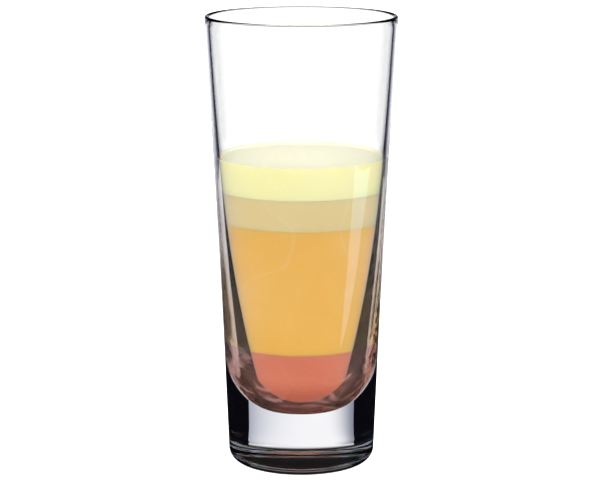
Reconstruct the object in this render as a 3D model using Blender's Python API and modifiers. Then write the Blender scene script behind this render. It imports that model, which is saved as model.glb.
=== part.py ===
"""Mai tai in a tall, thick-based glass, with four poured layers.

Metres, +Z up, the glass stands on z = 0 and turns about the Z axis.
"""
import math

import bpy

MM = 0.001

# Glass: overall size
HEIGHT = 160.0 * MM
FOOT_RADIUS = 25.86 * MM
TAPER = 0.0390
FLARE = 0.074
SEGMENTS = 64

# Glass: rim, heel and underside
RIM_WALL = 1.75 * MM
HEEL_RADIUS = 4.8 * MM
RING_WIDTH = 2.2 * MM
RECESS_DEPTH = 1.2 * MM

# Glass: cavity
BASE_THICKNESS = 19.8 * MM
BOWL_HEIGHT = 13.2 * MM
BOWL_FULLNESS = 4.4
WALL_SWELL = 16.7 * MM
WALL_POWER = 3.17

# Drink: name, height of the top and colour of each layer, bottom layer first
LAYERS = (
    ("red", 43.2 * MM, (0.55, 0.10, 0.06)),
    ("orange", 88.1 * MM, (0.80, 0.42, 0.10)),
    ("tan", 99.0 * MM, (0.72, 0.56, 0.26)),
    ("yellow", 110.0 * MM, (0.93, 0.87, 0.40)),
)
CLEARANCE = 0.3 * MM

# Steps along the profiles, and how far apart the points of a long wall stand
RIM_STEPS = 6
HEEL_STEPS = 6
BOWL_STEPS = 9
RECESS_STEPS = 3
INSIDE_PITCH = 12.0 * MM
OUTSIDE_PITCH = 18.0 * MM
SLOPE_STEP = 0.02 * MM
MERGE = 0.05 * MM


def clear_scene():
    """Remove every object the scene starts with."""
    for obj in list(bpy.data.objects):
        bpy.data.objects.remove(obj, do_unlink=True)


def outer_radius(z):
    """Radius of the outside of the glass at height z."""
    return FOOT_RADIUS + TAPER * z + FLARE * z * z


def wall_thickness(z):
    """Thickness of the wall at height z, thick at the foot."""
    rise = 1.0 - z / HEIGHT
    return RIM_WALL + WALL_SWELL * rise ** WALL_POWER


def cavity_radius(z):
    """Radius of the inside of the glass at height z."""
    radius = outer_radius(z) - wall_thickness(z)
    depth = (z - BASE_THICKNESS) / BOWL_HEIGHT
    if depth < 1.0:
        radius *= max(0.0, 1.0 - (1.0 - depth) ** 2) ** (1.0 / BOWL_FULLNESS)
    return radius


def spread(low, high, count):
    """Evenly spaced values from low to high, both included."""
    return [low + (high - low) * i / count for i in range(count + 1)]


def bowl_heights():
    """Heights along the rounded bottom of the cavity, closer near the pole."""
    heights = []
    for i in range(BOWL_STEPS + 1):
        angle = 0.5 * math.pi * i / BOWL_STEPS
        heights.append(BASE_THICKNESS + BOWL_HEIGHT * (1.0 - math.cos(angle)))
    return heights


def wall_heights(low, high, pitch=INSIDE_PITCH):
    """Heights from low to high, about one pitch apart."""
    count = max(1, round((high - low) / pitch))
    return spread(low, high, count)


def cavity_point(z, inset=0.0):
    """Point of the cavity wall at height z, moved in by inset across the wall."""
    if z <= BASE_THICKNESS:
        return (0.0, BASE_THICKNESS + inset)
    low = max(BASE_THICKNESS, z - SLOPE_STEP)
    high = z + SLOPE_STEP
    run = cavity_radius(high) - cavity_radius(low)
    rise = high - low
    length = math.hypot(run, rise)
    return (cavity_radius(z) - inset * rise / length, z + inset * run / length)


def rim_points():
    """Rounded rim, from the inside over the top to the outside."""
    half = 0.5 * (outer_radius(HEIGHT) - cavity_radius(HEIGHT))
    seat = HEIGHT - half
    inside = cavity_radius(seat)
    outside = outer_radius(seat)
    middle = 0.5 * (inside + outside)
    reach = 0.5 * (outside - inside)
    points = []
    for i in range(RIM_STEPS + 1):
        angle = math.pi * (1.0 - i / RIM_STEPS)
        points.append((middle + reach * math.cos(angle), seat + half * math.sin(angle)))
    return points


def heel_points():
    """Rounded heel, from the wall down to the ring the glass stands on."""
    centre = outer_radius(HEEL_RADIUS) - HEEL_RADIUS
    points = []
    for i in range(HEEL_STEPS + 1):
        angle = 0.5 * math.pi * i / HEEL_STEPS
        across = centre + HEEL_RADIUS * math.cos(angle)
        points.append((across, HEEL_RADIUS * (1.0 - math.sin(angle))))
    return points


def recess_points():
    """Shallow hollow of the underside, from the ring to the axis."""
    edge = outer_radius(HEEL_RADIUS) - HEEL_RADIUS - RING_WIDTH
    points = []
    for i in range(RECESS_STEPS + 1):
        angle = 0.5 * math.pi * i / RECESS_STEPS
        points.append((edge * math.cos(angle), RECESS_DEPTH * math.sin(angle)))
    points[-1] = (0.0, RECESS_DEPTH)
    return points


def glass_profile():
    """Half section of the glass: cavity, rim, outer wall, heel, underside."""
    rim = rim_points()
    heel = heel_points()
    bowl = bowl_heights()
    points = [(0.0, BASE_THICKNESS)]
    points += [(cavity_radius(z), z) for z in bowl[1:]]
    points += [(cavity_radius(z), z) for z in wall_heights(bowl[-1], rim[0][1])[1:-1]]
    points += rim
    walls = wall_heights(heel[0][1], rim[-1][1], OUTSIDE_PITCH)
    points += [(outer_radius(z), z) for z in reversed(walls[1:-1])]
    points += heel
    points += recess_points()
    return points


def layer_profile(bottom, top):
    """Half section of one layer of the drink, clear of the glass wall."""
    if bottom is None:
        low = bowl_heights()
        heights = low + wall_heights(low[-1], top)[1:]
        side = [cavity_point(z, CLEARANCE) for z in heights[:-1]]
        side.append((cavity_point(top, CLEARANCE)[0], top))
    else:
        side = [(cavity_point(z, CLEARANCE)[0], z) for z in wall_heights(bottom, top)]
        side.insert(0, (0.0, bottom))
    return [(0.0, top)] + side[::-1]


def turn(name, profile, collection):
    """Turn a half section about the Z axis into a closed solid."""
    mesh = bpy.data.meshes.new(name)
    vertices = [(x, 0.0, z) for x, z in profile]
    edges = [(i, i + 1) for i in range(len(profile) - 1)]
    mesh.from_pydata(vertices, edges, [])
    obj = bpy.data.objects.new(name, mesh)
    collection.objects.link(obj)
    screw = obj.modifiers.new("turn", "SCREW")
    screw.axis = "Z"
    screw.angle = 2.0 * math.pi
    screw.steps = SEGMENTS
    screw.render_steps = SEGMENTS
    screw.use_merge_vertices = True
    screw.merge_threshold = MERGE
    screw.use_smooth_shade = True
    return obj


def finish(obj, colour, roughness, alpha=1.0):
    """Give the object a plain material of its own."""
    material = bpy.data.materials.new(obj.name + "_material")
    material.use_nodes = True
    shader = material.node_tree.nodes["Principled BSDF"]
    shader.inputs["Base Color"].default_value = (*colour, 1.0)
    shader.inputs["Roughness"].default_value = roughness
    shader.inputs["Alpha"].default_value = alpha
    material.diffuse_color = (*colour, alpha)
    obj.data.materials.append(material)


def build():
    """Make the glass and the four layers of the drink."""
    clear_scene()
    collection = bpy.data.collections.new("mai_tai")
    bpy.context.scene.collection.children.link(collection)

    glass = turn("glass", glass_profile(), collection)
    finish(glass, (0.92, 0.95, 0.96), 0.05, 0.35)

    bottom = None
    for name, top, colour in LAYERS:
        layer = turn("layer_" + name, layer_profile(bottom, top), collection)
        finish(layer, colour, 0.1)
        bottom = top + CLEARANCE


build()
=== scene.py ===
# %% [markdown]
# # A layered mai tai in a thick-based glass
# The drink stands in a tall glass whose wall swells towards a heavy foot.
# Four cloudy layers were poured one on another: red, orange, tan and pale yellow.
# We first load the fixed frame. Its solids say where everything is, and we only dress them.

# %% Load the frame
import math

import bmesh
import bpy
from mathutils import Matrix, Vector


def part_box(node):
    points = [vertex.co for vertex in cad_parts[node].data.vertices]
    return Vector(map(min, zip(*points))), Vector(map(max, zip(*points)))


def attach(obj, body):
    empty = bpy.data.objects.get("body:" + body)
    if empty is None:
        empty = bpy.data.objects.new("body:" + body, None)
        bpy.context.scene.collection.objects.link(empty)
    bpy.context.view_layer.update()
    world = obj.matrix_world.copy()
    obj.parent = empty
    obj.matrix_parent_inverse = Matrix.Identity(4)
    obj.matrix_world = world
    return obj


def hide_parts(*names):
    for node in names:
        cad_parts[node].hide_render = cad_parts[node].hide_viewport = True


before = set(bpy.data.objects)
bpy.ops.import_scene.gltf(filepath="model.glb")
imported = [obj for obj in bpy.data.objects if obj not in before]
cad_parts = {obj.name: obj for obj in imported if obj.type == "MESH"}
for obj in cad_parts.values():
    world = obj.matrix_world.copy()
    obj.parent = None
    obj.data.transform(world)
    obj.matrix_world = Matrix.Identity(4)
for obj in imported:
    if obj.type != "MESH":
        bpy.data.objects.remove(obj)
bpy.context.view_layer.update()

# %% [markdown]
# ## Sizes
# A turned glass is one outline spun about an axis, so a few sizes and two short formulas
# give every radius. The outside widens gently upwards. The wall is thin at the rim and
# swells towards the foot, and the cavity ends in a rounded bowl.
# The same formulas shaped the solids, so the fine surfaces land exactly on them.

# %% Sizes of the glass
MM = 0.001

GLASS_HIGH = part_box("glass")[1]
HEIGHT = GLASS_HIGH[2]
FOOT_RADIUS = 25.86 * MM
TAPER = 0.0390
FLARE = 0.074

RIM_WALL = 1.75 * MM
HEEL_RADIUS = 4.8 * MM
RING_WIDTH = 2.2 * MM
RECESS_DEPTH = 1.2 * MM

BASE_THICKNESS = 19.8 * MM
BOWL_HEIGHT = 13.2 * MM
BOWL_FULLNESS = 4.4
WALL_SWELL = 16.7 * MM
WALL_POWER = 3.17


def outer_radius(z):
    """Radius of the outside of the glass at height z."""
    return FOOT_RADIUS + TAPER * z + FLARE * z * z


def wall_thickness(z):
    """Thickness of the wall at height z."""
    rise = max(0.0, 1.0 - z / HEIGHT)
    return RIM_WALL + WALL_SWELL * rise ** WALL_POWER


def cavity_radius(z):
    """Radius of the inside of the glass at height z."""
    radius = outer_radius(z) - wall_thickness(z)
    depth = (z - BASE_THICKNESS) / BOWL_HEIGHT
    if depth < 1.0:
        radius *= max(0.0, 1.0 - (1.0 - depth) ** 2) ** (1.0 / BOWL_FULLNESS)
    return radius


print("rim radius", outer_radius(HEIGHT), "of", GLASS_HIGH[0])

# %% [markdown]
# ## Turning a half section
# bmesh has a spin operator, the digital lathe. We lay a chain of vertices in the XZ plane
# and spin it a full turn. use_merge joins the last copy to the first, remove_doubles closes
# the poles on the axis, and the normals are recalculated once the shape is shut.

# %% The lathe
WELD = 0.002 * MM
SHARP_CORNER = math.radians(50.0)


def spread(low, high, count):
    """Evenly spaced values from low to high, both included."""
    return [low + (high - low) * i / count for i in range(count + 1)]


def chain(bm, points):
    """Lay a chain of vertices and edges in the XZ plane."""
    row = [bm.verts.new((x, 0.0, z)) for x, z in points]
    return row + [bm.edges.new(pair) for pair in zip(row, row[1:])]


def lathe(name, points, steps):
    """Spin a half section into a closed, smooth piece."""
    bm = bmesh.new()
    outline = chain(bm, points)
    bmesh.ops.spin(
        bm, geom=outline, cent=(0, 0, 0), axis=(0, 0, 1), angle=2 * math.pi,
        steps=steps, use_merge=True, use_duplicate=False)
    bmesh.ops.remove_doubles(bm, verts=bm.verts, dist=WELD)
    bmesh.ops.recalc_face_normals(bm, faces=bm.faces)
    mesh = bpy.data.meshes.new(name)
    bm.to_mesh(mesh)
    bm.free()
    mesh.shade_smooth()
    mesh.set_sharp_from_angle(angle=SHARP_CORNER)
    piece = bpy.data.objects.new(name, mesh)
    bpy.context.scene.collection.objects.link(piece)
    print(name, len(mesh.polygons), "faces")
    return piece


# %% [markdown]
# ## The glass
# A pressed long drink glass is one piece: cavity, fire-polished rim, outer wall, rounded
# heel and a shallow hollow underneath that leaves a ring to stand on.
# We follow that outline from the pole of the cavity up, over the rim and down again.
# Light bends at every surface of clear glass, so the curves need many fine steps.

# %% Model the glass
TURN_STEPS = 192
BOWL_STEPS = 48
WALL_STEPS = 60
ARC_STEPS = 14


def bowl_heights():
    """Heights along the rounded bottom of the cavity, closer near the pole."""
    turns = spread(0.0, 0.5 * math.pi, BOWL_STEPS)
    return [BASE_THICKNESS + BOWL_HEIGHT * (1.0 - math.cos(a)) for a in turns]


def rim_arc():
    """Rounded rim, from the inside over the top to the outside."""
    half = 0.5 * (outer_radius(HEIGHT) - cavity_radius(HEIGHT))
    seat = HEIGHT - half
    inside, outside = cavity_radius(seat), outer_radius(seat)
    middle, reach = 0.5 * (inside + outside), 0.5 * (outside - inside)
    turns = spread(math.pi, 0.0, ARC_STEPS)
    return [(middle + reach * math.cos(a), seat + half * math.sin(a)) for a in turns]


def heel_arc():
    """Rounded heel, from the wall down to the ring."""
    centre = outer_radius(HEEL_RADIUS) - HEEL_RADIUS
    turns = spread(0.0, 0.5 * math.pi, ARC_STEPS)
    return [(centre + HEEL_RADIUS * math.cos(a), HEEL_RADIUS * (1 - math.sin(a))) for a in turns]


def recess_arc():
    """Shallow hollow of the underside, from the ring to the axis."""
    edge = outer_radius(HEEL_RADIUS) - HEEL_RADIUS - RING_WIDTH
    turns = spread(0.0, 0.5 * math.pi, ARC_STEPS)
    arc = [(edge * math.cos(a), RECESS_DEPTH * math.sin(a)) for a in turns]
    return arc[:-1] + [(0.0, RECESS_DEPTH)]


def glass_outline():
    """Half section of the whole glass."""
    rim, heel, bowl = rim_arc(), heel_arc(), bowl_heights()
    inside = [(0.0, BASE_THICKNESS)] + [(cavity_radius(z), z) for z in bowl[1:]]
    inside += [(cavity_radius(z), z) for z in spread(bowl[-1], rim[0][1], WALL_STEPS)[1:-1]]
    outside = [(outer_radius(z), z) for z in spread(rim[-1][1], heel[0][1], WALL_STEPS)[1:-1]]
    return inside + rim + outside + heel + recess_arc()


glass = lathe("glass_body", glass_outline(), TURN_STEPS)
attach(glass, "root")
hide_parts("glass")

# %% [markdown]
# ## The drink
# Each layer is its own closed piece. Where liquid meets glass there is no air, so every
# layer reaches a hair into the wall. The layers stop a hair short of each other, which
# keeps two colours from fighting over one surface.
# Water climbs a glass wall a little, so the top of the highest layer curls up at its edge.

# %% Outlines of the layers
INTO_WALL = 0.12 * MM
MENISCUS_RISE = 0.8 * MM
MENISCUS_REACH = 5.0 * MM
MENISCUS_CURVE = 0.6 * MM

SIDE_PITCH = 1.0 * MM
BOWL_SIDE_STEPS = 20
TOP_STEPS = 12
FLAT_STEPS = 8
CURL_STEPS = 18


def drink_radius(z):
    """Radius of the drink at height z, a hair into the wall."""
    return cavity_radius(z) + INTO_WALL


def layer_side(low, high):
    """Side of a layer from its bottom up."""
    count = round((high - low) / SIDE_PITCH)
    return [(drink_radius(z), z) for z in spread(low, high, count)]


def bowl_side(high):
    """Rounded bottom and side of the lowest layer, set a hair into the glass."""
    pole = (0.0, BASE_THICKNESS - INTO_WALL)
    heights = bowl_heights()[1:]
    heights += spread(heights[-1], high, BOWL_SIDE_STEPS)[1:]
    return [pole] + [(drink_radius(z), z) for z in heights]


def flat_top(z):
    """A level surface of a layer, from the axis outwards."""
    edge = drink_radius(z)
    return [(edge * t, z) for t in spread(0.0, 1.0, TOP_STEPS)[:-1]]


def curled_top(level):
    """Top of the drink with its curl at the wall, from the axis outwards."""
    edge = drink_radius(level + MENISCUS_RISE)
    flat = edge - MENISCUS_REACH
    points = [(flat * t, level) for t in spread(0.0, 1.0, FLAT_STEPS)[:-1]]
    for share in spread(1.0, 0.0, CURL_STEPS)[:-1]:
        gap = MENISCUS_REACH * share * share
        points.append((edge - gap, level + MENISCUS_RISE * math.exp(-gap / MENISCUS_CURVE)))
    return points


print("drink radius at the bowl's edge", drink_radius(BASE_THICKNESS + BOWL_HEIGHT))

# %% [markdown]
# ## Pouring the layers
# The heights come from the frame's own solids, which keep a clear gap between them. Each
# fine layer grows to the middle of that gap, so the seams close to a hundredth of a
# millimetre. The lowest layer takes the bowl's shape and the highest one gets the curl.

# %% Model the layers
SEAM = 0.01 * MM
LAYERS = ("red", "orange", "tan", "yellow")
NODE_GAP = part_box("layer_orange")[0][2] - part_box("layer_red")[1][2]


def model_layer(name, low, high, lowest, highest):
    """One layer of the drink between two heights."""
    if highest:
        side, top = layer_side(low, high + MENISCUS_RISE), curled_top(high)
    else:
        side, top = bowl_side(high) if lowest else layer_side(low, high), flat_top(high)
    bottom = [] if lowest else flat_top(low)
    piece = lathe("drink_" + name, bottom + side + top[::-1], TURN_STEPS)
    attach(piece, "root")
    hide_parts("layer_" + name)
    "drink_" + name
    return piece


drink = {}
for index, name in enumerate(LAYERS):
    node_low, node_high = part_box("layer_" + name)
    lowest, highest = index == 0, index == len(LAYERS) - 1
    low = node_low[2] - 0.5 * NODE_GAP + 0.5 * SEAM
    high = node_high[2] if highest else node_high[2] + 0.5 * NODE_GAP - 0.5 * SEAM
    drink[name] = model_layer(name, low, high, lowest, highest)

# %% [markdown]
# ## Shader maths in plain Python
# A material is a small network of nodes. This class wraps one socket, so that masks can be
# written as ordinary sums and products, and each sum adds its Math node behind the scenes.


# %% Sockets
class Wire:
    """One output socket, with the arithmetic that the materials need."""

    def __init__(self, tree, socket):
        self.tree = tree
        self.socket = socket

    def other(self, name):
        """Another output of the same node."""
        return Wire(self.tree, self.socket.node.outputs[name])

    def maths(self, operation, first, second=0.0):
        """Add a Math node of two inputs."""
        return self.tree.node("ShaderNodeMath", {"operation": operation}, {0: first, 1: second})

    def __add__(self, other):
        return self.maths("ADD", self, other)

    def __radd__(self, other):
        return self.maths("ADD", other, self)

    def __sub__(self, other):
        return self.maths("SUBTRACT", self, other)

    def __rsub__(self, other):
        return self.maths("SUBTRACT", other, self)

    def __mul__(self, other):
        return self.maths("MULTIPLY", self, other)

    def __rmul__(self, other):
        return self.maths("MULTIPLY", other, self)

    def __truediv__(self, other):
        return self.maths("DIVIDE", self, other)

    def __abs__(self):
        return self.maths("ABSOLUTE", self)


# %% [markdown]
# ## Node trees
# Every other node comes from one method: it takes the node's type, then its settings, then
# the values or links of its sockets. A few short helpers on top of it name the nodes that
# the materials use again and again. A colour Mix node keeps its factor on socket 0, its two
# colours on 6 and 7, and its result on output 2.


# %% Node trees
class Tree:
    """A material's or a world's node tree."""

    def __init__(self, owner, output):
        owner.use_nodes = True
        self.tree = owner.node_tree
        self.tree.nodes.clear()
        self.output = self.tree.nodes.new(output)

    def node(self, kind, settings=None, inputs=None, output=0):
        """Add a node, with its settings first and its sockets second."""
        made = self.tree.nodes.new(kind)
        for key, value in (settings or {}).items():
            setattr(made, key, value)
        for key, value in (inputs or {}).items():
            if isinstance(value, Wire):
                self.tree.links.new(value.socket, made.inputs[key])
            else:
                made.inputs[key].default_value = value
        return Wire(self, made.outputs[output])

    def place(self):
        """The piece's own coordinates, in metres."""
        return self.node("ShaderNodeTexCoord", output="Object")

    def axes(self, vector):
        """The three numbers of a vector."""
        x = self.node("ShaderNodeSeparateXYZ", inputs={0: vector})
        return x, x.other("Y"), x.other("Z")

    def ramp(self, value, low, high):
        """Rise smoothly from 0 at low to 1 at high."""
        return self.node("ShaderNodeMapRange", {"interpolation_type": "SMOOTHSTEP"}, {
            "Value": value, "From Min": low, "From Max": high})

    def noise(self, place, scale, detail, twist=0.0):
        """Soft noise round one half."""
        return self.node("ShaderNodeTexNoise", inputs={
            "Vector": place, "Scale": scale, "Detail": detail, "Distortion": twist})

    def blend(self, factor, first, second):
        """Mix two colours."""
        return self.node("ShaderNodeMix", {"data_type": "RGBA"}, {0: factor, 6: first, 7: second}, 2)

    def met(self, kind):
        """1 once a ray has met a surface of this kind: Diffuse, Glossy or Transmission."""
        return self.ramp(self.node("ShaderNodeLightPath", output=kind + " Depth"), 0.0, 1.0)

    def end(self, shader, socket="Surface"):
        """Join a shader to the output."""
        self.tree.links.new(shader.socket, self.output.inputs[socket])


def material(name):
    """A new material and its empty tree."""
    made = bpy.data.materials.new(name)
    return made, Tree(made, "ShaderNodeOutputMaterial")


def dress(piece, made):
    """Give a piece its one material."""
    piece.data.materials.clear()
    piece.data.materials.append(made)
    print(piece.name, "wears", made.name)


def opaque(colour):
    """A colour of three numbers with its alpha."""
    return (*colour, 1.0)


def grey(level):
    """A neutral colour."""
    return (level, level, level, 1.0)


# %% [markdown]
# ## Clear glass
# Soda-lime glass bends light with an index of about 1.5 and shows a faint cool tint where
# it is thick. A Principled shader with full transmission does the bending, and a weak
# Volume Absorption does the tint, so the heavy foot looks deeper than the thin rim.
# Pressed glass is never perfectly even, so a faint ripple goes into the normal. The ring
# that the glass stands on is slightly worn, which roughens the lowest two millimetres.

# %% Glass finish
GLASS_INDEX = 1.5
GLASS_TINT = (0.80, 0.86, 0.95, 1.0)
GLASS_DENSITY = 6.0
RIPPLE_SCALE = 45.0
RIPPLE_SHARE = 0.02
RIPPLE_DEPTH = 0.4 * MM
WORN_ROUGHNESS = 0.09
WORN_LOW, WORN_HIGH = 1.4 * MM, 2.4 * MM

clear_glass, tree = material("clear_glass")
place = tree.place()
worn = tree.ramp(tree.axes(place)[2], WORN_HIGH, WORN_LOW)
bump = tree.node("ShaderNodeBump", inputs={
    "Strength": RIPPLE_SHARE, "Distance": RIPPLE_DEPTH,
    "Height": tree.noise(place, RIPPLE_SCALE, 1.0)})
tree.end(tree.node("ShaderNodeBsdfPrincipled", inputs={
    "Base Color": grey(1.0), "Roughness": WORN_ROUGHNESS * worn, "IOR": GLASS_INDEX,
    "Transmission Weight": 1.0, "Normal": bump}))
tree.end(tree.node("ShaderNodeVolumeAbsorption", inputs={
    "Color": GLASS_TINT, "Density": GLASS_DENSITY}), "Volume")
dress(glass, clear_glass)

# %% [markdown]
# ## Colours of the layers
# Juice is never one flat colour. Pulp drifts in it as paler and deeper clouds, and thin
# swirls are left from the pouring. Soft noise makes both: the clouds straight from its
# value, the swirls from the thin line where it passes one half. The lowest layer deepens
# towards the bottom of the bowl, and two layers mingle over a hair where they touch.

# %% Colours of the layers
LAYER_COLOURS = {
    "red": (0.684, 0.218, 0.134),
    "orange": (0.832, 0.486, 0.104),
    "tan": (0.752, 0.604, 0.290),
    "yellow": (0.950, 0.898, 0.446),
}
WHITEN = 0.20
DEEPEN = 1.25

PULP_SCALE, PULP_DETAIL = 32.0, 3.0
PALE_PULP, PALE_FROM, PALE_TO = 0.5, 0.45, 0.75
DEEP_PULP, DEEP_FROM, DEEP_TO = 0.4, 0.52, 0.25
SWIRL_SCALE, SWIRL_DETAIL = 24.0, 0.5
SWIRL_SHARE, SWIRL_WIDTH = 0.22, 0.012

SUNK_RED = (0.480, 0.105, 0.055, 1.0)
SUNK_HIGH, SUNK_LOW = BASE_THICKNESS + 15.0 * MM, BASE_THICKNESS + 5.0 * MM
SUNK_WAVE = 5.0 * MM
SUNK_SHARE, SUNK_SWIRL = 0.9, 0.5

SEAM_HEIGHTS = [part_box("layer_" + name)[1][2] + 0.5 * NODE_GAP for name in LAYERS[:-1]]
SEAM_BLUR = 0.35 * MM
SEAM_WAVE = 0.4 * MM


def soft_seams(tree, name, colour, wavy):
    """Mix in half of each neighbour's colour at the seams."""
    index = LAYERS.index(name)
    if index > 0:
        seam = SEAM_HEIGHTS[index - 1]
        below = opaque(LAYER_COLOURS[LAYERS[index - 1]])
        colour = tree.blend(0.5 - 0.5 * tree.ramp(wavy, seam, seam + SEAM_BLUR), colour, below)
    if index < len(LAYERS) - 1:
        seam = SEAM_HEIGHTS[index]
        above = opaque(LAYER_COLOURS[LAYERS[index + 1]])
        colour = tree.blend(0.5 * tree.ramp(wavy, seam - SEAM_BLUR, seam), colour, above)
    return colour


def cloudy_colour(tree, name, place, height):
    """Colour of a layer, with pulp, thin swirls and soft seams."""
    plain = LAYER_COLOURS[name]
    paler = opaque([(1.0 - WHITEN) * c + WHITEN for c in plain])
    deeper = opaque([c ** DEEPEN for c in plain])
    cloud = tree.noise(place, PULP_SCALE, PULP_DETAIL)
    colour = tree.blend(PALE_PULP * tree.ramp(cloud, PALE_FROM, PALE_TO), opaque(plain), paler)
    colour = tree.blend(DEEP_PULP * tree.ramp(cloud, DEEP_FROM, DEEP_TO), colour, deeper)
    swirl = tree.noise(place, SWIRL_SCALE, SWIRL_DETAIL)
    line = 1.0 - tree.ramp(abs(swirl - 0.5), 0.0, SWIRL_WIDTH)
    colour = tree.blend(SWIRL_SHARE * line, colour, paler)
    if name == LAYERS[0]:
        sunk = tree.ramp(height + (cloud - 0.5) * SUNK_WAVE, SUNK_HIGH, SUNK_LOW)
        colour = tree.blend(SUNK_SHARE * sunk, colour, SUNK_RED)
        colour = tree.blend(SUNK_SWIRL * sunk * line, colour, paler)
    return soft_seams(tree, name, colour, height + (cloud - 0.5) * SEAM_WAVE)


print("seams at", SEAM_HEIGHTS)

# %% [markdown]
# ## Marks of the pressed wall
# Glass that was pressed into a mould keeps flow marks: broad ones round the bowl and fine
# upright ones on a narrow stretch of the wall at the very right. Noise with some distortion,
# drawn out along the wall by a stretched vector, looks much like them. In the drink the same
# noise also places painted highlight streaks in the wall's mirror.

# %% Flow marks
FLOW = ((1.0, 1.0, 1.8), 60.0, 2.4)
MARKS = ((1.0, 1.0, 0.5), 330.0, 1.0)
STROKE_DETAIL = 1.5
SIDE_FROM, SIDE_TO = 0.17, 0.10
SIDE_TURN = 2.0 * MM
LEFT_SHARE = 0.15


def strokes(tree, place, stretch, scale, twist):
    """Noise drawn out along the wall, as the flow marks of pressed glass are."""
    drawn = tree.node("ShaderNodeVectorMath", {"operation": "MULTIPLY"}, {0: place, 1: stretch})
    return tree.noise(drawn, scale, STROKE_DETAIL, twist)


def right_side(tree, place):
    """The narrow stretch of wall at the very right, where the press left most marks and the mirror
    gets painted highlight streaks.
    """
    x, y, _ = tree.axes(place)
    facing = abs(y) / (abs(x) + abs(y) + 0.1 * MM)
    right = LEFT_SHARE + (1.0 - LEFT_SHARE) * tree.ramp(x, -SIDE_TURN, SIDE_TURN)
    return tree.ramp(facing, SIDE_FROM, SIDE_TO) * right


print("flow marks of scale", FLOW[1], "and", MARKS[1])

# %% [markdown]
# ## The cloudy layers
# Light goes a few millimetres into juice and comes back soft, which is what subsurface
# scattering imitates. Where the drink is seen at a flat angle through the wall, the wall
# mirrors the room. A Fresnel node with the index of air against glass finds those angles.
# The mirror takes only part of the drink's colour, more of it low in the glass. The flow
# marks ripple it near the bowl and at the right. There they also dull it in streaks, so the
# diffuse drink shows the mirror's pale colour as painted highlights. Where the wall turns away
# furthest, a painted lavender reflection lies high up and a painted brown shade lies low down.
# The level top of the drink is painted nearly white, as a painted highlight.

# %% Drink finish
LIQUID_INDEX = 1.34
AIR_AGAINST_GLASS = 0.667
WALL_LEAN, TOP_LEAN = 0.15, 0.45
# The level top of the drink is painted nearly white, a painted highlight rather than the drink's
# colour.
PAINTED_LIT_TOP = (1.0, 0.985, 0.80, 1.0)
PAINTED_LIT_TOP_SHARE = 0.75

BOWL_FROM, BOWL_TO = 50.0 * MM, 28.0 * MM
LOW_FROM, LOW_TO = 84.0 * MM, 46.0 * MM
PALE_HEIGHT_FROM, PALE_HEIGHT_TO = 64.0 * MM, 78.0 * MM
GRAZE_FROM, GRAZE_TO = 0.34, 0.42

# The mirror's own colour, which the diffuse drink also shows as painted highlights where the mirror
# is dulled. Next come a lavender for a painted reflection on the edges high up and a brown for a
# painted shade on them low down.
GLINT = grey(0.95)
LAVENDER = (0.78, 0.78, 0.86, 1.0)
PAINTED_SHADE_BROWN = (0.20, 0.11, 0.09, 1.0)
FLANK_SHADE = 0.55
MIRROR_TINT, LOW_TINT, SIDE_TINT, BOWL_TINT = 0.12, 0.40, 0.25, 0.26

MIRROR_SHARE = 0.982
# Shares by which the mirror is dulled in streaks and patches. There the diffuse drink shows the
# mirror's pale colour as painted highlights.
BOWL_HIGHLIGHT_PAINT, FLOW_HIGHLIGHT_PAINT, FLOW_HIGHLIGHT_PAINT_FROM, FLOW_HIGHLIGHT_PAINT_TO = 0.115, 0.46, 0.50, 0.66
SIDE_HIGHLIGHT_PAINT, SIDE_HIGHLIGHT_PAINT_FROM, SIDE_HIGHLIGHT_PAINT_TO = 0.34, 0.54, 0.60
LOW_HIGHLIGHT_PAINT, PALE_EDGE_HIGHLIGHT_PAINT = 0.05, 0.45

RIPPLE_HEIGHT = 0.5 * MM
EVEN_RIPPLE, BOWL_RIPPLE, SIDE_RIPPLE = 0.02, 0.5, 0.35
TOP_COAT = 0.15
SCATTER_DEPTH = 4.0 * MM


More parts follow.
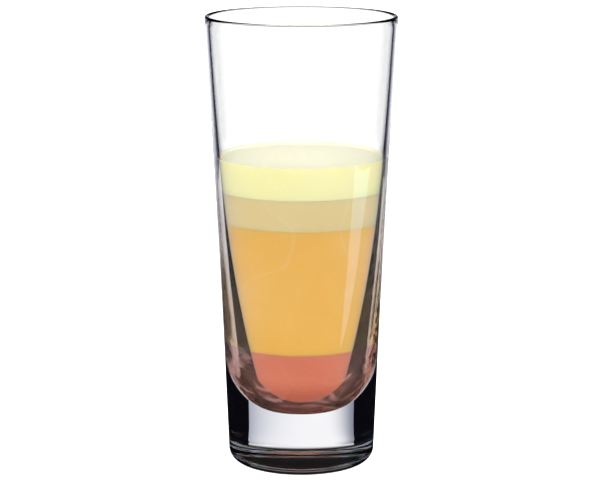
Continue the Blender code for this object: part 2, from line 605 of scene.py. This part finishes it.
def layer_material(name):
    """Cloudy liquid with soft seams, pulp and a mirror where the wall turns away, with painted
    highlights, painted light at its edges and a painted pale top.
    """
    made, tree = material("cloudy_" + name)
    place = tree.place()
    height = tree.axes(place)[2]
    lean = tree.axes(tree.node("ShaderNodeNewGeometry", output="Normal"))[2]
    at_wall = 1.0 - tree.ramp(lean, WALL_LEAN, TOP_LEAN)
    mirror = at_wall * tree.node("ShaderNodeFresnel", inputs={"IOR": AIR_AGAINST_GLASS})
    facing = tree.node("ShaderNodeLayerWeight", inputs={"Blend": 0.5}, output="Facing")
    graze = tree.ramp(facing, GRAZE_FROM, GRAZE_TO)

    side = right_side(tree, place)
    at_bowl = tree.ramp(height, BOWL_FROM, BOWL_TO)
    low = tree.ramp(height, LOW_FROM, LOW_TO)
    painted_pale_edge = graze * tree.ramp(height, PALE_HEIGHT_FROM, PALE_HEIGHT_TO)
    flow, marks = strokes(tree, place, *FLOW), strokes(tree, place, *MARKS)

    ripple = flow * (EVEN_RIPPLE + BOWL_RIPPLE * at_bowl) + marks * (SIDE_RIPPLE * side)
    bump = tree.node("ShaderNodeBump", inputs={
        "Strength": 1.0, "Distance": RIPPLE_HEIGHT, "Height": ripple * at_wall})
    # Painted highlights: where the mirror is dulled, the drink shows the pale mirror colour.
    painted_highlight = at_bowl * (BOWL_HIGHLIGHT_PAINT + FLOW_HIGHLIGHT_PAINT * tree.ramp(flow, FLOW_HIGHLIGHT_PAINT_FROM, FLOW_HIGHLIGHT_PAINT_TO))
    painted_highlight = painted_highlight + SIDE_HIGHLIGHT_PAINT * side * tree.ramp(marks, SIDE_HIGHLIGHT_PAINT_FROM, SIDE_HIGHLIGHT_PAINT_TO)
    painted_highlight = painted_highlight + LOW_HIGHLIGHT_PAINT * low + PALE_EDGE_HIGHLIGHT_PAINT * painted_pale_edge

    colour = cloudy_colour(tree, name, place, height)
    tint = MIRROR_TINT + LOW_TINT * low + SIDE_TINT * side + BOWL_TINT * at_bowl
    glint = tree.blend(tint, GLINT, colour)
    # Painted light at the turned-away edges: a lavender reflection high up and a brown shade low
    # down.
    glint = tree.blend(painted_pale_edge, glint, LAVENDER)
    glint = tree.blend(FLANK_SHADE * graze * at_bowl, glint, PAINTED_SHADE_BROWN)
    # Painted highlight: the level top is painted nearly white.
    colour = tree.blend(PAINTED_LIT_TOP_SHARE * (1.0 - at_wall), colour, PAINTED_LIT_TOP)
    tree.end(tree.node("ShaderNodeBsdfPrincipled", inputs={
        "Base Color": tree.blend(mirror, colour, glint), "Roughness": 0.05,
        "IOR": LIQUID_INDEX, "Specular IOR Level": 0.1,
        "Metallic": (MIRROR_SHARE - painted_highlight) * mirror, "Normal": bump,
        "Coat Weight": TOP_COAT * (1.0 - at_wall), "Coat Roughness": 0.03,
        "Coat IOR": LIQUID_INDEX, "Subsurface Weight": 0.4,
        "Subsurface Radius": (1.0, 0.6, 0.3), "Subsurface Scale": SCATTER_DEPTH}))
    return made


for name, piece in drink.items():
    dress(piece, layer_material(name))

# %% [markdown]
# ## Floor
# The set is a plain pale floor. Seen straight on it glows a little, so that it washes out
# to white as a product photographer's sweep does, without throwing more light on the glass.

# %% Floor
FLOOR_SIZE = 30.0
FLOOR_GREY = 0.93
FLOOR_LIFT = 0.6

bm = bmesh.new()
bmesh.ops.create_grid(bm, x_segments=2, y_segments=2, size=FLOOR_SIZE / 2)
floor_mesh = bpy.data.meshes.new("floor")
bm.to_mesh(floor_mesh)
bm.free()
floor = bpy.data.objects.new("floor", floor_mesh)
bpy.context.scene.collection.objects.link(floor)

pale, tree = material("pale_floor")
straight = tree.node("ShaderNodeLightPath", output="Is Camera Ray")
tree.end(tree.node("ShaderNodeBsdfPrincipled", inputs={
    "Base Color": grey(FLOOR_GREY), "Roughness": 0.9, "Specular IOR Level": 0.1,
    "Emission Color": FLOOR_LIFT * straight, "Emission Strength": 1.0}))
dress(floor, pale)

# %% [markdown]
# ## Soft light
# The world is the light tent. The light that falls on cloudy liquid is kept stronger than
# the light that glass mirrors and bends, and for that hard light the tent is bright only
# near the horizon, because a dark ceiling keeps the rim and the foot crisp.

# %% World
CAMERA_LIGHT = 1.5
SOFT_LIGHT = 2.2
HARD_LIGHT = 1.0
CEILING_SHADE = 0.99
CEILING_FROM, CEILING_TO = -0.02, 0.17

world = bpy.data.worlds.new("studio")
bpy.context.scene.world = world
tree = Tree(world, "ShaderNodeOutputWorld")
straight = tree.node("ShaderNodeLightPath", output="Is Camera Ray")
soft = tree.met("Diffuse")
rise = tree.axes(tree.node("ShaderNodeTexCoord", output="Generated"))[2]
hard = HARD_LIGHT * (1.0 - CEILING_SHADE * tree.ramp(rise, CEILING_FROM, CEILING_TO))
bounced = soft * SOFT_LIGHT + (1.0 - soft) * hard
level = straight * CAMERA_LIGHT + (1.0 - straight) * bounced
tree.end(tree.node("ShaderNodeBackground", inputs={"Color": grey(1.0), "Strength": level}))
print("light on the drink", SOFT_LIGHT, "and in the mirror", HARD_LIGHT)

# %% [markdown]
# ## The turntable set
# Clear glass shows only what it bends into view, so a product photographer stands dark cards
# beside it to draw its edges. Black cards lie on the table on both sides of the glass and
# leave a fan-shaped window behind it, and a dark wall stands far round the rest.
# All of it hangs later on one empty that turns to face the camera.

# %% Cutting the cards
CARD_REACH = 4.0
WINDOW_APEX = 32.0 * MM
WINDOW_SPREAD = math.tan(math.radians(32.1))
WALL_SINK = -0.5
WALL_TURNS = 48
CIRCLE_STEPS = 48


def prop(name, bm):
    """Turn a bmesh into a studio piece that only mirrored and bent light sees."""
    mesh = bpy.data.meshes.new(name)
    bm.to_mesh(mesh)
    bm.free()
    made = bpy.data.objects.new(name, mesh)
    bpy.context.scene.collection.objects.link(made)
    made.visible_camera = False
    made.visible_diffuse = False
    made.visible_shadow = False
    made.visible_volume_scatter = False
    return made


def flat_card(name, outline, height):
    """A card that lies flat, cut to an outline."""
    bm = bmesh.new()
    corners = [bm.verts.new((x, y, height)) for x, y in outline]
    bmesh.ops.contextual_create(bm, geom=corners)
    bmesh.ops.triangulate(bm, faces=bm.faces)
    return prop(name, bm)


def standing_wall(name, start, end, high):
    """A wall that stands far round the glass, from one bearing to another."""
    bm = bmesh.new()
    line = chain(bm, [(CARD_REACH, WALL_SINK), (CARD_REACH, high)])
    turn = Matrix.Rotation(math.pi / 2 - start, 3, "Z")
    bmesh.ops.rotate(bm, verts=bm.verts, cent=(0, 0, 0), matrix=turn)
    bmesh.ops.spin(
        bm, geom=line, cent=(0, 0, 0), axis=(0, 0, 1), angle=start - end, steps=WALL_TURNS,
        use_merge=False, use_duplicate=False)
    return prop(name, bm)


def window_edge(y):
    """Half width of the window behind the glass."""
    return (y - WINDOW_APEX) * WINDOW_SPREAD


def side_outline(side):
    """Half of the table, open to the window behind the glass."""
    far = CARD_REACH
    edge = [(0.0, WINDOW_APEX), (window_edge(far), far), (far, far), (far, -far), (0.0, -far)]
    return [(side * x, y) for x, y in edge]


def window_outline(near, far):
    """The part of the window between two distances."""
    return [(-window_edge(near), near), (window_edge(near), near),
            (window_edge(far), far), (-window_edge(far), far)]


def circle(radius):
    """A ring of points round the axis."""
    turns = spread(0.0, 2 * math.pi, CIRCLE_STEPS)[:-1]
    return [(radius * math.cos(a), radius * math.sin(a)) for a in turns]


def in_mm(outline):
    """An outline given in millimetres."""
    return [(x * MM, y * MM) for x, y in outline]


print("window behind the glass", window_edge(CARD_REACH), "m wide to each side")

# %% [markdown]
# ## Paint of the cards
# A card glows in its own colour, and soft light passes through it as if it weren't there.
# Some cards show only in one kind of mirror. A ray that was mirrored but never bent shows
# the outside of the glass, and one that was mirrored and bent shows the inside of its wall.
# The two sheets in the window are graduated: white in the middle, cooler and darker towards
# their edges, so the foot and the upper wall darken softly to the sides.

# %% Paint of the cards
FOOT_WHITE = (1.06, 1.04, 1.04, 1.0)
FOOT_RIGHT, FOOT_RIGHT_FROM, FOOT_RIGHT_TO = (0.38, 0.40, 0.49, 1.0), -0.10, 1.30
FOOT_LEFT, FOOT_LEFT_FROM, FOOT_LEFT_TO = (0.28, 0.29, 0.36, 1.0), -0.30, -1.0

FAR_WHITE = grey(1.4)
FAR_LAVENDER, LAVENDER_FROM, LAVENDER_TO = (0.55, 0.56, 0.72, 1.0), 0.42, 0.85
FAR_DARK, DARK_FROM, DARK_TO = (0.18, 0.18, 0.25, 1.0), 0.80, 1.0
RIM_GREY = (0.40, 0.40, 0.43, 1.0)
RIM_FAR, RIM_NEAR, RIM_ACROSS = (0.52, 0.42), (0.15, 0.20), (0.55, 0.35)

STREAK_BROWN = (0.10, 0.045, 0.036, 1.0)
STREAK_PINK = (0.42, 0.26, 0.22, 1.0)
STREAK_SCALE, STREAK_DETAIL = 260.0, 3.0
STREAK_FROM, STREAK_TO = 0.45, 0.62


def across_window(tree):
    """Place across the window, from -1 at its left edge to 1 at its right, and depth."""
    x, y, _ = tree.axes(tree.place())
    return x / ((y - WINDOW_APEX) * WINDOW_SPREAD), y


def near_fade(tree):
    """White in the middle of the foot, cool grey towards its two edges."""
    across, _ = across_window(tree)
    right = tree.ramp(across, FOOT_RIGHT_FROM, FOOT_RIGHT_TO)
    left = tree.ramp(across, FOOT_LEFT_FROM, FOOT_LEFT_TO)
    return tree.blend(left, tree.blend(right, FOOT_WHITE, FOOT_RIGHT), FOOT_LEFT)


def far_fade(tree):
    """White in the middle, lavender and then dark at the edges, grey near the front."""
    across, y = across_window(tree)
    across = abs(across)
    colour = tree.blend(tree.ramp(across, LAVENDER_FROM, LAVENDER_TO), FAR_WHITE, FAR_LAVENDER)
    colour = tree.blend(tree.ramp(across, DARK_FROM, DARK_TO), colour, FAR_DARK)
    under_rim = tree.ramp(y, *RIM_FAR) * tree.ramp(y, *RIM_NEAR) * tree.ramp(across, *RIM_ACROSS)
    return tree.blend(under_rim, colour, RIM_GREY)


def brown_streaks(tree):
    """Brown card under the glass with pinkish streaks."""
    waves = tree.noise(tree.place(), STREAK_SCALE, STREAK_DETAIL)
    return tree.blend(tree.ramp(waves, STREAK_FROM, STREAK_TO), STREAK_BROWN, STREAK_PINK)


def card_material(name, paint, seen=None):
    """A card that soft light passes. paint is a colour or makes one, seen names its mirror."""
    made, tree = material(name)
    share = 1.0 - tree.met("Diffuse")
    if seen == "on the glass":
        share = share * tree.met("Glossy") * (1.0 - tree.met("Transmission"))
    if seen == "inside the wall":
        share = share * tree.met("Glossy") * tree.met("Transmission")
    shown = paint(tree) if callable(paint) else paint
    glow = tree.node("ShaderNodeEmission", inputs={"Color": shown, "Strength": 1.0})
    clear = tree.node("ShaderNodeBsdfTransparent")
    tree.end(tree.node("ShaderNodeMixShader", inputs={0: share, 1: clear, 2: glow}))
    return made


print("brightest sheet", FAR_WHITE[0], "darkest edge", FAR_DARK[0])

# %% [markdown]
# ## Laying out the set
# The near sheet shows through the foot, and the far one through the edges of the upper wall
# and the rim. A brown card under the glass is what the bottom of the bowl mirrors. A strip
# light lies on the right for the long highlight, and two grey strips draw a line into the
# wall beside the drink. The cards lie at slightly different heights, so none hides another
# by accident.

# %% Lay out the set
WALL_START = math.radians(33.5)
WALL_HIGH = 3.0
SHEET_SEAM = 0.125
UNDER_GLASS = 17.0 * MM

BLACK = (0.0026, 0.0026, 0.0045, 1.0)
STRIP_BLUE = (0.9, 1.9, 2.7, 1.0)
LINE_GREY_LEFT = (0.95, 0.91, 0.96, 1.0)
LINE_GREY_RIGHT = (1.0, 0.95, 0.96, 1.0)

STRIP = ((131, -95), (200, -113), (300, -126), (435, -138), (478, 80), (340, -18), (220, -68))
LINE_LEFT = ((-11, 40), (-92, 330), (-290, 330), (-35, 40))
LINE_RIGHT = ((12, 40), (99, 330), (215, 330), (26, 40))

black = card_material("black_card", BLACK)
props = [
    flat_card("card_right", side_outline(1.0), 0.1 * MM),
    flat_card("card_left", side_outline(-1.0), 0.1 * MM),
    standing_wall("wall", WALL_START, 2 * math.pi - WALL_START, WALL_HIGH),
]
for card in props:
    dress(card, black)

PAINTED_CARDS = (
    ("near_sheet", window_outline(WINDOW_APEX + MM, SHEET_SEAM), 0.05, near_fade, None),
    ("far_sheet", window_outline(SHEET_SEAM, CARD_REACH), 0.05, far_fade, None),
    ("under_glass", circle(UNDER_GLASS), 0.2, brown_streaks, "inside the wall"),
    ("strip_light", in_mm(STRIP), 0.3, STRIP_BLUE, "on the glass"),
    ("line_left", in_mm(LINE_LEFT), 0.2, LINE_GREY_LEFT, "inside the wall"),
    ("line_right", in_mm(LINE_RIGHT), 0.2, LINE_GREY_RIGHT, "inside the wall"),
)
for name, outline, height, paint, seen in PAINTED_CARDS:
    card = flat_card(name, outline, height * MM)
    dress(card, card_material(name, paint, seen))
    props.append(card)

# %% [markdown]
# ## Camera
# The photograph looks slightly down on the glass from a little under a metre, through a long
# lens. The camera aims at the middle of the glass, and a small shift puts the glass where it
# stands in the frame.

# %% Camera
CAMERA_DISTANCE = 850 * MM
CAMERA_ELEVATION = math.radians(11.2)
FRAME_WIDTH, FRAME_HEIGHT = 600, 480
PIXELS_PER_MM = 2.817
AXIS_X, MIDDLE_Y = 301.3, 240.2
SENSOR_WIDTH = 36.0

lens_data = bpy.data.cameras.new("camera")
camera = bpy.data.objects.new("camera", lens_data)
bpy.context.scene.collection.objects.link(camera)
bpy.context.scene.camera = camera
back = Vector((0.0, -math.cos(CAMERA_ELEVATION), math.sin(CAMERA_ELEVATION)))
camera.location = Vector((0.0, 0.0, 0.5 * HEIGHT)) + back * CAMERA_DISTANCE
camera.rotation_mode = "QUATERNION"
camera.rotation_quaternion = (-back).to_track_quat("-Z", "Y")
lens_data.sensor_width = SENSOR_WIDTH
lens_data.lens = SENSOR_WIDTH * CAMERA_DISTANCE / (FRAME_WIDTH / PIXELS_PER_MM * MM)
lens_data.shift_x = (0.5 * FRAME_WIDTH - AXIS_X) / FRAME_WIDTH
lens_data.shift_y = (MIDDLE_Y - 0.5 * FRAME_HEIGHT) / FRAME_WIDTH
lens_data.clip_start, lens_data.clip_end = 0.01, 100.0
print("lens", lens_data.lens)

# %% [markdown]
# ## Turning the set with the camera
# The cards were placed for one view. A Locked Track constraint turns their empty about the
# vertical axis until it faces the camera, so the glass is lit the same way from every side.

# %% Turntable and colour management
turntable = bpy.data.objects.new("turntable", None)
bpy.context.scene.collection.objects.link(turntable)
face = turntable.constraints.new("LOCKED_TRACK")
face.target = camera
face.track_axis = "TRACK_NEGATIVE_Y"
face.lock_axis = "LOCK_Z"
for card in props:
    card.parent = turntable

view = bpy.context.scene.view_settings
view.view_transform = "Standard"
view.look = "None"
print(len(props), "cards on the turntable")
